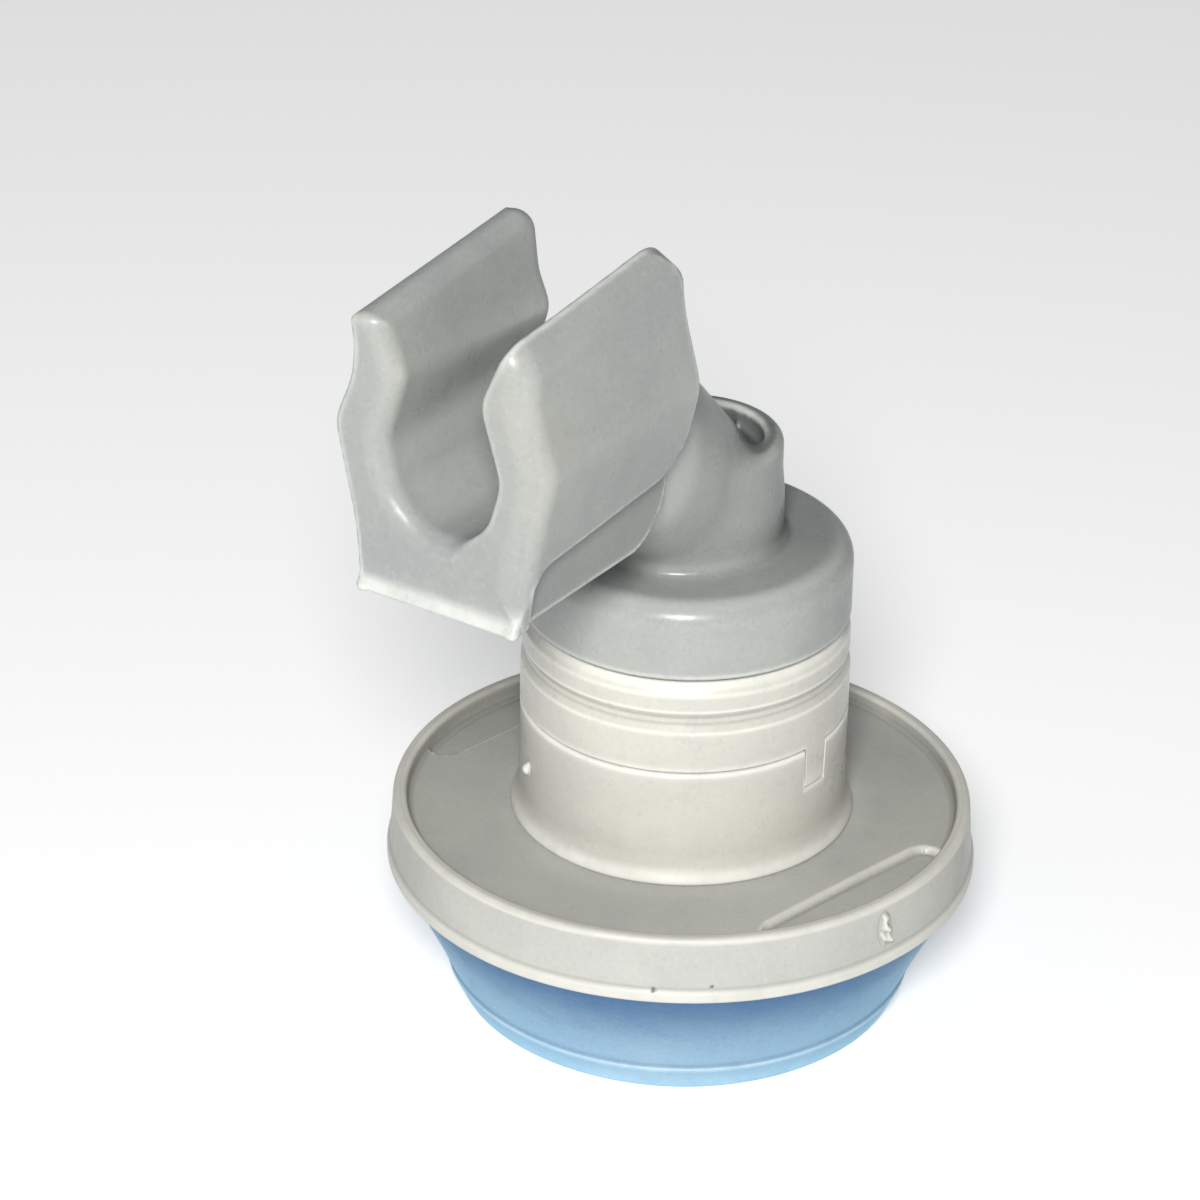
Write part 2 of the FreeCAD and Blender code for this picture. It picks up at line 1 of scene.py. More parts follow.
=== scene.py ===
import bpy
import numpy as np
from mathutils import Matrix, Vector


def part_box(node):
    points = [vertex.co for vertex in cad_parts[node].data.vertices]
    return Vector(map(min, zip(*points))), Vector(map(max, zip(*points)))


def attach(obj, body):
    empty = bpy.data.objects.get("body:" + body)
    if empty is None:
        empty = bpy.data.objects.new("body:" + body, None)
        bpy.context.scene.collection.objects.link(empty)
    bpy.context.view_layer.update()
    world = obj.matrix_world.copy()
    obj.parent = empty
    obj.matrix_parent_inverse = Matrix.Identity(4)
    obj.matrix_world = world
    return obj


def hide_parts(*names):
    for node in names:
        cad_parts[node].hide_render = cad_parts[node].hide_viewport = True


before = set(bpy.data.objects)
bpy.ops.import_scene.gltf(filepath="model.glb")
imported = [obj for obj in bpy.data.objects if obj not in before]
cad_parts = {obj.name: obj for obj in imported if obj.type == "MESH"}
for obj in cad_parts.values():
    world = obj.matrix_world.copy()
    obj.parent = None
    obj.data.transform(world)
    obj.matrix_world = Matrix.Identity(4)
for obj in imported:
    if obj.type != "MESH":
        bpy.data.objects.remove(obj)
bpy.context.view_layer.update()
mm = 0.001
baseTurn = -12.0    # the base is turned this far about Z against the trough


def boxOf(node):
    low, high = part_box(node)
    return np.array(low) / mm, np.array(high) / mm


# levels in mm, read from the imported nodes
rimTop = boxOf("flange_dish")[1][2]
flangeLow = boxOf("flange_dish")[0][2]
barrelTop = boxOf("neck_barrel")[1][2]
collarTop = boxOf("neck_collar")[1][2]
capLow, armTop = boxOf("turret_cap")[0][2], boxOf("turret_cap")[1][2]
armEnd = boxOf("turret_cap")[0][1]
troughLow, troughFront = boxOf("pour_trough")[0][2], boxOf("pour_trough")[0][1]
troughBack = boxOf("pour_trough")[1][1]
print("levels read")


# camera, floor and light

cameraPlace = {
    "azimuth": 33.9, "elevation": 27.95, "roll": 1.007,    # degrees, from the front to the right side
    "distance": 403.8, "aimRight": -7.09, "aimUp": 16.25,    # mm, from the middle of the rim
    "lens": 139.6, "sensor": 36.0,
}


def makeCamera(place):
    azimuth, elevation, roll = np.radians([place["azimuth"], place["elevation"], place["roll"]])
    right = np.array([np.cos(azimuth), np.sin(azimuth), 0.0])
    level = np.array([-np.sin(azimuth), np.cos(azimuth), 0.0])
    up = level * np.sin(elevation) + np.array([0.0, 0.0, np.cos(elevation)])
    back = np.cross(right, up)
    right, up = (np.cos(roll) * right + np.sin(roll) * up, np.cos(roll) * up - np.sin(roll) * right)
    spot = place["aimRight"] * right + place["aimUp"] * up + place["distance"] * back
    spot = spot + np.array([0.0, 0.0, rimTop])
    camera = bpy.data.objects.new("camera", bpy.data.cameras.new("camera"))
    bpy.context.scene.collection.objects.link(camera)
    camera.data.lens, camera.data.sensor_width = place["lens"], place["sensor"]
    camera.data.clip_start, camera.data.clip_end = 0.01, 20.0
    turn = np.eye(4)
    turn[:3, 0], turn[:3, 1], turn[:3, 2], turn[:3, 3] = right, up, back, spot * mm
    camera.matrix_world = Matrix(turn.tolist())
    bpy.context.scene.camera = camera
    return right, up, back


# each light: direction in the camera's own axes (right, up, back), size and distance in mm, watts, colour
lights = {
    "key": {
        "towards": (-0.06, 0.10, 1.0), "size": 150.0, "far": 620.0,
        "power": 3.9, "colour": (1.0, 0.99, 0.97),
    },
    "left": {
        "towards": (-1.0, 0.35, 0.35), "size": 320.0, "far": 520.0,
        "power": 0.18, "colour": (0.97, 0.98, 1.0),
    },
    "top": {
        "towards": (0.2, 1.0, -0.1), "size": 400.0, "far": 620.0,
        "power": 0.25, "colour": (1.0, 1.0, 1.0),
    },
}
worldLight = {"colour": (0.96, 0.98, 1.0), "strength": 0.17}


def makeLights(axes):
    for name, light in lights.items():
        towards = sum(part * axis for part, axis in zip(light["towards"], axes))
        towards /= np.linalg.norm(towards)
        data = bpy.data.lights.new(name, "AREA")
        data.shape, data.size = "DISK", light["size"] * mm
        data.energy, data.color = light["power"], light["colour"]
        lamp = bpy.data.objects.new(name, data)
        bpy.context.scene.collection.objects.link(lamp)
        side = np.cross([0.0, 0.0, 1.0], towards)
        side /= np.linalg.norm(side)
        turn = np.eye(4)
        turn[:3, 0], turn[:3, 1], turn[:3, 2] = side, np.cross(towards, side), towards
        turn[:3, 3] = (towards * light["far"] + np.array([0.0, 0.0, 40.0])) * mm
        lamp.matrix_world = Matrix(turn.tolist())
    world = bpy.data.worlds.new("softWorld")
    world.use_nodes = True
    sky = world.node_tree.nodes["Background"]
    sky.inputs["Color"].default_value = (*worldLight["colour"], 1.0)
    sky.inputs["Strength"].default_value = worldLight["strength"]
    bpy.context.scene.world = world


floorLook = {"size": 6000.0, "colour": (0.93, 0.935, 0.94), "roughness": 0.7, "glow": 0.28}


def makeFloor(look):
    half = look["size"] * mm / 2
    mesh = bpy.data.meshes.new("floor")
    corners = [(-half, -half, 0), (half, -half, 0), (half, half, 0), (-half, half, 0)]
    mesh.from_pydata(corners, [], [(0, 1, 2, 3)])
    floor = bpy.data.objects.new("floor", mesh)
    bpy.context.scene.collection.objects.link(floor)
    paint = bpy.data.materials.new("paleFloor")
    paint.use_nodes = True
    shader = paint.node_tree.nodes["Principled BSDF"]
    shader.inputs["Base Color"].default_value = (*look["colour"], 1.0)
    shader.inputs["Roughness"].default_value = look["roughness"]
    shader.inputs["Specular IOR Level"].default_value = 0.2
    shader.inputs["Emission Color"].default_value = (1.0, 1.0, 1.0, 1.0)
    shader.inputs["Emission Strength"].default_value = look["glow"]
    mesh.materials.append(paint)


axes = makeCamera(cameraPlace)
makeLights(axes)
makeFloor(floorLook)
bpy.context.scene.view_settings.view_transform = "Standard"
print("camera, lights and floor made")


# finishes

def tone(red, green, blue):
    # 0 to 255 screen values to the linear values a shader takes
    value = np.array([red, green, blue]) / 255.0
    linear = np.where(value <= 0.04045, value / 12.92, ((value + 0.055) / 1.055) ** 2.4)
    return (*linear.tolist(), 1.0)


# colour: main; cloud: broad drift towards it; pale: light mottle and painted highlights on edges and lit
# bands, partly edge wear;
# deep: dark mottle and painted shade in hollows and shaded bands; skin: the thin tinted layer on top
finishes = {
    "blueRubber": {
        "colour": tone(176, 184, 194), "cloud": tone(160, 174, 190), "pale": tone(228, 236, 240),
        "deep": tone(24, 78, 128), "speck": tone(60, 70, 85), "cloudSize": 90.0,
        "mottle": 0.10, "grain": 2600.0,
        "roughness": 0.46, "roughDrift": 0.12, "bump": 0.10, "bumpSize": 1500.0,
        "edge": 0.6, "hollow": 0.75,
        "specks": 0.06, "scatter": 0.25, "reach": 0.0012, "gloss": 0.4,
        "skin": (0.74, 0.88, 0.95, 1.0),
    },
    "whitePlastic": {
        "colour": tone(206, 207, 201), "cloud": tone(192, 193, 190), "pale": tone(240, 238, 230),
        "deep": tone(120, 120, 112), "speck": tone(52, 50, 48), "cloudSize": 70.0,
        "mottle": 0.07, "grain": 2300.0,
        "roughness": 0.40, "roughDrift": 0.14, "bump": 0.08, "bumpSize": 900.0,
        "edge": 0.65, "hollow": 0.55,
        "specks": 0.10, "scatter": 0.22, "reach": 0.0011, "gloss": 0.45,
        "skin": (0.88, 0.88, 0.87, 1.0),
    },
    "creamPlastic": {
        "colour": tone(212, 211, 201), "cloud": tone(200, 200, 193), "pale": tone(244, 243, 236),
        "deep": tone(118, 117, 110), "speck": tone(60, 58, 54), "cloudSize": 80.0,
        "mottle": 0.06, "grain": 2300.0,
        "roughness": 0.30, "roughDrift": 0.12, "bump": 0.07, "bumpSize": 900.0,
        "edge": 0.8, "hollow": 0.6,
        "specks": 0.05, "scatter": 0.22, "reach": 0.0011, "gloss": 0.5,
        "skin": (0.93, 0.93, 0.93, 1.0),
    },
    "greyPlastic": {
        "colour": tone(187, 186, 181), "cloud": tone(174, 176, 175), "pale": tone(240, 240, 235),
        "deep": tone(88, 92, 90), "speck": tone(70, 72, 72), "cloudSize": 75.0,
        "mottle": 0.07, "grain": 2300.0,
        "roughness": 0.30, "roughDrift": 0.14, "bump": 0.08, "bumpSize": 800.0,
        "edge": 0.82, "hollow": 0.7,
        "specks": 0.04, "scatter": 0.28, "reach": 0.0014, "gloss": 0.5,
        "skin": (0.84, 0.86, 0.86, 1.0),
    },
    "valvePlastic": {
        "colour": tone(150, 156, 158), "cloud": tone(138, 146, 150), "pale": tone(190, 194, 194),
        "deep": tone(92, 98, 102), "speck": tone(70, 72, 74), "cloudSize": 90.0,
        "mottle": 0.06, "grain": 2300.0,
        "roughness": 0.38, "roughDrift": 0.12, "bump": 0.06, "bumpSize": 900.0,
        "edge": 0.4, "hollow": 0.4,
        "specks": 0.03, "scatter": 0.1, "reach": 0.0008, "gloss": 0.5,
        "skin": (0.92, 0.92, 0.92, 1.0),
    },
    "whiteSlip": {
        "colour": tone(232, 232, 226), "cloud": tone(222, 223, 218), "pale": tone(244, 244, 240),
        "deep": tone(150, 150, 145), "speck": tone(120, 118, 112), "cloudSize": 120.0,
        "mottle": 0.04, "grain": 2500.0,
        "roughness": 0.5, "roughDrift": 0.1, "bump": 0.05, "bumpSize": 1200.0,
        "edge": 0.3, "hollow": 0.4,
        "specks": 0.02, "scatter": 0.15, "reach": 0.0008, "gloss": 0.35,
        "skin": (0.95, 0.95, 0.95, 1.0),
    },
    "greySeal": {
        "colour": tone(120, 124, 128), "cloud": tone(108, 113, 118), "pale": tone(150, 154, 158),
        "deep": tone(70, 74, 78), "speck": tone(50, 52, 54), "cloudSize": 140.0,
        "mottle": 0.08, "grain": 3200.0,
        "roughness": 0.62, "roughDrift": 0.1, "bump": 0.12, "bumpSize": 2200.0,
        "edge": 0.25, "hollow": 0.4,
        "specks": 0.04, "scatter": 0.0, "reach": 0.0005, "gloss": 0.3,
        "skin": (0.95, 0.95, 0.95, 1.0),
    },
    "blackSeal": {
        "colour": tone(38, 39, 41), "cloud": tone(46, 47, 50), "pale": tone(84, 85, 88),
        "deep": tone(18, 18, 20), "speck": tone(90, 90, 92), "cloudSize": 160.0,
        "mottle": 0.10, "grain": 3200.0,
        "roughness": 0.5, "roughDrift": 0.12, "bump": 0.12, "bumpSize": 2400.0,
        "edge": 0.3, "hollow": 0.3,
        "specks": 0.04, "scatter": 0.0, "reach": 0.0005, "gloss": 0.4,
        "skin": (0.95, 0.95, 0.95, 1.0),
    },
}


def makePlastic(name, look):
    # moulded plastic or rubber: the colour drifts between two tones, with fine mottle and rare specks;
    # painted highlights on edges (partly edge wear) and painted shade in hollows; roughness drifts in
    # blotches; bump is fine moulded grain
    material = bpy.data.materials.new(name)
    material.use_nodes = True
    nodes, links = material.node_tree.nodes, material.node_tree.links
    shader = nodes["Principled BSDF"]
    where = nodes.new("ShaderNodeTexCoord").outputs["Object"]

    def noise(scale, detail, rough):
        node = nodes.new("ShaderNodeTexNoise")
        links.new(where, node.inputs["Vector"])
        node.inputs["Scale"].default_value = scale
        node.inputs["Detail"].default_value = detail
        node.inputs["Roughness"].default_value = rough
        return node.outputs["Fac"]

    def remap(value, low, high, start, end):
        node = nodes.new("ShaderNodeMapRange")
        links.new(value, node.inputs["Value"])
        for socket, number in zip(("From Min", "From Max", "To Min", "To Max"), (low, high, start, end)):
            node.inputs[socket].default_value = number
        return node.outputs["Result"]

    def mixed(first, second, amount, kind="MIX"):
        node = nodes.new("ShaderNodeMix")
        node.data_type, node.blend_type = "RGBA", kind
        for value, socket in ((amount, node.inputs[0]), (first, node.inputs[6]), (second, node.inputs[7])):
            if isinstance(value, (tuple, float)):
                socket.default_value = value
            else:
                links.new(value, socket)
        return node.outputs[2]

    def painted(attribute, amount):
        node = nodes.new("ShaderNodeAttribute")
        node.attribute_name = attribute
        return remap(node.outputs["Fac"], 0.0, 1.0, 0.0, amount)

    def product(first, second):
        node = nodes.new("ShaderNodeMath")
        node.operation = "MULTIPLY"
        links.new(first, node.inputs[0])
        links.new(second, node.inputs[1])
        return node.outputs[0]

    cloud = noise(look["cloudSize"], 3.0, 0.55)
    fine = noise(look["grain"], 2.0, 0.6)
    blotch = noise(look["cloudSize"] * 5.0, 4.0, 0.6)
    colour = mixed(look["colour"], look["cloud"], remap(cloud, 0.35, 0.68, 0.0, 1.0))
    colour = mixed(colour, look["deep"], remap(blotch, 0.50, 0.90, 0.0, look["mottle"] * 1.6))
    colour = mixed(colour, look["pale"], remap(fine, 0.55, 0.85, 0.0, look["mottle"] * 2.5))
    colour = mixed(colour, look["deep"], remap(fine, 0.45, 0.15, 0.0, look["mottle"] * 2.5))
    # painted shade: mixed towards the deep tone as far as the deep attribute says
    colour = mixed(colour, look["deep"], painted("deep", look["hollow"]))
    # painted highlight, partly edge wear: mixed towards the pale tone in patches as far as the pale attribute
    # says
    edgeHighlightAndWear = product(painted("pale", look["edge"]), remap(blotch, 0.25, 0.60, 0.55, 1.0))
    colour = mixed(colour, look["pale"], edgeHighlightAndWear)
    cells = nodes.new("ShaderNodeTexVoronoi")    # one dark fleck in a few of the cells
    links.new(where, cells.inputs["Vector"])
    cells.inputs["Scale"].default_value = 210.0
    pick = nodes.new("ShaderNodeSeparateColor")
    links.new(cells.outputs["Color"], pick.inputs["Color"])
    chosen = remap(pick.outputs["Red"], 1.0 - look["specks"], 1.0 - look["specks"] + 0.01, 0.0, 1.0)
    fleck = remap(cells.outputs["Distance"], 0.035, 0.055, 0.85, 0.0)
    colour = mixed(colour, look["speck"], product(chosen, fleck))
    colour = mixed(colour, look["speck"], painted("fleck", 0.9))
    links.new(colour, shader.inputs["Base Color"])
    smoothest, dullest = look["roughness"] - look["roughDrift"] / 2, look["roughness"] + look["roughDrift"]
    rough = remap(blotch, 0.30, 0.75, smoothest, dullest)
    links.new(rough, shader.inputs["Roughness"])
    grain = noise(look["bumpSize"], 4.0, 0.55)
    bump = nodes.new("ShaderNodeBump")
    bump.inputs["Strength"].default_value = look["bump"]
    bump.inputs["Distance"].default_value = 0.0004
    links.new(grain, bump.inputs["Height"])
    links.new(bump.outputs["Normal"], shader.inputs["Normal"])
    shader.inputs["Specular IOR Level"].default_value = look["gloss"]
    shader.inputs["Subsurface Weight"].default_value = look["scatter"]
    shader.inputs["Subsurface Radius"].default_value = (1.0, 0.85, 0.7)
    shader.inputs["Coat Weight"].default_value = 1.0    # a thin tinted skin
    shader.inputs["Coat Roughness"].default_value = 0.3
    shader.inputs["Coat IOR"].default_value = 1.06
    shader.inputs["Coat Tint"].default_value = look["skin"]
    shader.inputs["Subsurface Scale"].default_value = look["reach"]
    return material


steelLook = {"colour": tone(176, 178, 180), "roughness": 0.24, "brushed": 900.0}


def makeSteel(name, look):
    # drawn steel: a stretched noise varies the roughness and a fine one gives scratches
    material = bpy.data.materials.new(name)
    material.use_nodes = True
    nodes, links = material.node_tree.nodes, material.node_tree.links
    shader = nodes["Principled BSDF"]
    where = nodes.new("ShaderNodeTexCoord").outputs["Object"]
    stretch = nodes.new("ShaderNodeMapping")
    stretch.inputs["Scale"].default_value = (1.0, 1.0, 9.0)
    links.new(where, stretch.inputs["Vector"])
    streak = nodes.new("ShaderNodeTexNoise")
    streak.inputs["Scale"].default_value = look["brushed"]
    streak.inputs["Detail"].default_value = 4.0
    links.new(stretch.outputs["Vector"], streak.inputs["Vector"])
    rough = nodes.new("ShaderNodeMapRange")
    links.new(streak.outputs["Fac"], rough.inputs["Value"])
    rough.inputs["To Min"].default_value = look["roughness"] - 0.08
    rough.inputs["To Max"].default_value = look["roughness"] + 0.22
    links.new(rough.outputs["Result"], shader.inputs["Roughness"])
    tint = nodes.new("ShaderNodeMapRange")
    links.new(streak.outputs["Fac"], tint.inputs["Value"])
    tint.inputs["To Min"].default_value = look["colour"][0] * 0.8
    tint.inputs["To Max"].default_value = look["colour"][0] * 1.15
    grey = nodes.new("ShaderNodeCombineColor")
    for channel in ("Red", "Green", "Blue"):
        links.new(tint.outputs["Result"], grey.inputs[channel])
    links.new(grey.outputs["Color"], shader.inputs["Base Color"])
    bump = nodes.new("ShaderNodeBump")
    bump.inputs["Strength"].default_value = 0.06
    bump.inputs["Distance"].default_value = 0.0002
    links.new(streak.outputs["Fac"], bump.inputs["Height"])
    links.new(bump.outputs["Normal"], shader.inputs["Normal"])
    shader.inputs["Metallic"].default_value = 1.0
    return material


finish = {name: makePlastic(name, look) for name, look in finishes.items()}
finish["steel"] = makeSteel("steel", steelLook)
print("finishes made")


# tools for the shapes

def sharedMean(values, pairs, count):
    # each point's mean of the values at the other ends of its edges
    first, second = pairs.T
    total = np.bincount(first, values[second], count) + np.bincount(second, values[first], count)
    return total / np.maximum(np.bincount(pairs.ravel(), minlength=count), 1)


def edgePairs(quads):
    return np.concatenate([quads[:, [0, 1]], quads[:, [1, 2]], quads[:, [2, 3]], quads[:, [3, 0]]])


def surfaceTurn(points, quads):
    # bend along an edge = change of normal, along the edge, over the edge's length, in 1/mm; a point takes
    # its strongest outward and strongest inward bend, each averaged twice with its neighbours
    a, b, c, d = (points[quads[:, i]] for i in range(4))
    faceNormal = np.cross(c - a, d - b)
    shared = [np.bincount(quads.ravel(), np.repeat(faceNormal[:, i], 4), len(points)) for i in range(3)]
    normal = np.stack(shared, 1)
    normal /= np.linalg.norm(normal, axis=1)[:, None] + 1e-12
    pairs = edgePairs(quads)
    step = points[pairs[:, 1]] - points[pairs[:, 0]]
    bend = ((normal[pairs[:, 1]] - normal[pairs[:, 0]]) * step).sum(1) / ((step ** 2).sum(1) + 1e-4)
    outward, inward = np.zeros(len(points)), np.zeros(len(points))
    for end in (0, 1):
        np.maximum.at(outward, pairs[:, end], bend)
        np.maximum.at(inward, pairs[:, end], -bend)
    for _ in range(2):
        outward = 0.5 * outward + 0.5 * sharedMean(outward, pairs, len(points))
        inward = 0.5 * inward + 0.5 * sharedMean(inward, pairs, len(points))
    return outward, inward


def step01(value, start, end):
    # 0 before start, 1 after end, smooth between
    t = np.clip((value - start) / (end - start), 0.0, 1.0)
    return t * t * (3.0 - 2.0 * t)


def addPiece(name, points, quads, body, material, pale=0.0, deep=0.0, fleck=0.0, sharp=42.0):
    outward, inward = surfaceTurn(points, quads)
    mesh = bpy.data.meshes.new(name)
    mesh.from_pydata((points * mm).tolist(), [], quads.tolist())
    # painted highlight on outward bends, partly edge wear, and painted shade in inward bends; each piece adds
    # its own painted light and shade
    edges = np.clip(step01(outward, 0.45, 2.4) + pale, 0.0, 1.0)
    hollows = np.clip(0.45 * step01(inward, 0.3, 2.0) + deep, 0.0, 1.0)
    for title, values in (("pale", edges), ("deep", hollows), ("fleck", fleck * np.ones(len(points)))):
        mesh.attributes.new(title, "FLOAT", "POINT").data.foreach_set("value", values.astype(np.float32))
    mesh.polygons.foreach_set("use_smooth", np.ones(len(quads), bool))
    mesh.set_sharp_from_angle(angle=np.radians(sharp))
    mesh.materials.append(finish[material])
    piece = bpy.data.objects.new(name, mesh)
    bpy.context.scene.collection.objects.link(piece)
    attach(piece, body)
    print(name, "made,", len(quads) * 2, "triangles")
    return piece


def profileLine(corners, run=0.8):
    # closed line through (radius, height, rounding, spacing) corners: an arc of the rounding, tangent to
    # both runs, at each corner, and evenly spaced points along each run
    spots = np.array([c[:2] for c in corners], float)
    pieces = []
    for i, corner in enumerate(corners):
        here, before, after = spots[i], spots[i - 1], spots[(i + 1) % len(spots)]
        radius = corner[2] if len(corner) > 2 else 0.0
        toBefore = (before - here) / np.linalg.norm(before - here)
        toAfter = (after - here) / np.linalg.norm(after - here)
        half = np.arccos(np.clip(toBefore @ toAfter, -1.0, 1.0)) / 2.0
        start, end = here + toBefore * radius / np.tan(half), here + toAfter * radius / np.tan(half)
        if radius > 0:
            middle = toBefore + toAfter
            centre = here + middle / np.linalg.norm(middle) * radius / np.sin(half)
            sweep = np.pi - 2.0 * half
            count = int(np.clip(np.ceil(sweep * radius / 0.09), 4, 16))
            first, last = start - centre, end - centre
            share = np.linspace(0.0, 1.0, count)[:, None]
            arc = (np.sin((1 - share) * sweep) * first + np.sin(share * sweep) * last) / np.sin(sweep)
            pieces.append(centre + arc)
        else:
            pieces.append(start[None, :])
        following = corners[(i + 1) % len(corners)]
        toHere = (here - after) / np.linalg.norm(here - after)
        nextRadius = following[2] if len(following) > 2 else 0.0
        beyond = spots[(i + 2) % len(spots)] - after
        nextHalf = np.arccos(np.clip(toHere @ (beyond / np.linalg.norm(beyond)), -1.0, 1.0)) / 2.0
        target = after + toHere * nextRadius / np.tan(nextHalf)
        length = np.linalg.norm(target - end)
        count = int(np.ceil(length / (corner[3] if len(corner) > 3 else run)))
        if count > 1:
            share = np.arange(1, count)[:, None] / count
            pieces.append(end + (target - end) * share)
    line = np.concatenate(pieces)
    keep = np.linalg.norm(line - np.roll(line, 1, axis=0), axis=1) > 1e-5
    line = line[keep]
    following = np.roll(line, -1, axis=0)
    area = (line[:, 0] * following[:, 1] - following[:, 0] * line[:, 1]).sum()
    return line if area > 0 else line[::-1]


def spreadAngles(count, near=()):
    # a whole turn in equal shares of a weight: 1, and more in each named (middle, width, gain) bell
    fine = np.linspace(-180.0, 180.0, 7201)
    weight = np.ones_like(fine)
    for middle, width, gain in near:
        away = (fine - middle + 180.0) % 360.0 - 180.0
        weight += gain * np.exp(-(away / width) ** 2)
    share = np.concatenate([[0.0], np.cumsum((weight[1:] + weight[:-1]) / 2.0)])
    return np.radians(np.interp(np.arange(count) / count * share[-1], share, fine))


def awayFrom(theta, middle):
    # signed angle from middle, in degrees
    return (np.degrees(theta) - middle + 180.0) % 360.0 - 180.0


def latheSurface(line, theta, reshape=None):
    # point(i, j) = (radius i, turned by angle j, height i), after reshape has moved radius and height
    radius, height = (np.repeat(line[:, k][:, None], len(theta), 1) for k in (0, 1))
    angle = np.repeat(theta[None, :], len(line), 0)
    if reshape is not None:
        radius, height = reshape(radius, height, angle)
    points = np.stack([radius * np.cos(angle), radius * np.sin(angle), height], -1).reshape(-1, 3)
    i, j = np.meshgrid(np.arange(len(line)), np.arange(len(theta)), indexing="ij")
    up, on = (i + 1) % len(line), (j + 1) % len(theta)
    wide = len(theta)
    quads = np.stack([i * wide + j, i * wide + on, up * wide + on, up * wide + j], -1).reshape(-1, 4)
    return points, quads


def both(a, b, radius):
    # inside both shapes, with the outer edge between them rounded to the radius
    corner = np.hypot(np.maximum(a + radius, 0.0), np.maximum(b + radius, 0.0))
    return np.minimum(-radius, np.maximum(a, b)) + corner


def either(a, b, radius):
    # inside either shape, with the inner corner between them filled to the radius
    corner = np.hypot(np.maximum(radius - a, 0.0), np.maximum(radius - b, 0.0))
    return np.maximum(radius, np.minimum(a, b)) - corner


def fieldSurface(field, low, high, cell):
    # surface where the field is 0: every grid cell that it crosses gets one point, the mean of the crossings
    # on the cell's edges; every crossed grid edge gives a four-sided face; then the points slide down the
    # field's slope to 0
    low, high = np.array(low, float), np.array(high, float)
    counts = np.ceil((high - low) / cell).astype(int) + 1
    grid = np.meshgrid(*[low[k] + cell * np.arange(counts[k]) for k in range(3)], indexing="ij")
    value = field(*grid)
    cells = tuple(counts - 1)
    total, hits = np.zeros((*cells, 3)), np.zeros(cells)
    crossings = []
    for axis in range(3):
        first = value[tuple(slice(0, -1) if k == axis else slice(None) for k in range(3))]
        second = value[tuple(slice(1, None) if k == axis else slice(None) for k in range(3))]
        crossed = (first < 0) != (second < 0)
        share = np.where(crossed, first / np.where(crossed, first - second, 1.0), 0.0)
        crossings.append((crossed, first < 0))
        others = [k for k in range(3) if k != axis]
        for one in (0, 1):
            for two in (0, 1):
                cut = [slice(None)] * 3
                cut[others[0]] = slice(one, one + cells[others[0]])
                cut[others[1]] = slice(two, two + cells[others[1]])
                hit = crossed[tuple(cut)]
                total[..., axis] += share[tuple(cut)]
                total[..., others[0]] += hit * one
                total[..., others[1]] += hit * two
                hits += hit
    used = hits > 0
    index = np.full(cells, -1)
    index[used] = np.arange(used.sum())
    points = low + cell * (np.argwhere(used) + total[used] / hits[used][:, None])
    faces = []
    for axis in range(3):
        crossed, inside = crossings[axis]
        one, two = (axis + 1) % 3, (axis + 2) % 3
        inner = [slice(None)] * 3
        inner[one], inner[two] = slice(1, -1), slice(1, -1)
        spots = np.argwhere(crossed[tuple(inner)])
        spots[:, one] += 1
        spots[:, two] += 1
        loop = []
        for stepOne, stepTwo in ((1, 1), (0, 1), (0, 0), (1, 0)):
            spot = spots.copy()
            spot[:, one] -= stepOne
            spot[:, two] -= stepTwo
            loop.append(index[tuple(spot.T)])
        loop = np.stack(loop, 1)
        flip = ~inside[tuple(spots.T)]
        loop[flip] = loop[flip][:, ::-1]
        faces.append(loop)
    quads = np.concatenate(faces)
    pairs = edgePairs(quads)

    def slide(points):
        gap = 0.01
        here = field(*points.T)
        slope = np.stack([(field(*(points + gap * np.eye(3)[k]).T) - here) / gap for k in range(3)], 1)
        move = here / np.maximum((slope ** 2).sum(1), 0.05)
        return points - np.clip(move, -0.5 * cell, 0.5 * cell)[:, None] * slope

    for _ in range(3):
        near = np.stack([sharedMean(points[:, k], pairs, len(points)) for k in range(3)], 1)
        points = slide(slide(0.5 * points + 0.5 * near))
    return slide(points), quads


# tapered stopper under the flange

skirt = {
    "bottomRadius": 18.9, "topRadius": 24.8, "wall": 2.4, "rootWall": 3.6, "webThick": 1.7,
    "hub": 10.65, "plateLevel": 14.85, "spigot": 23.6, "beadProud": 0.18, "beadHeight": 2.6,
    "columns": 300,
}


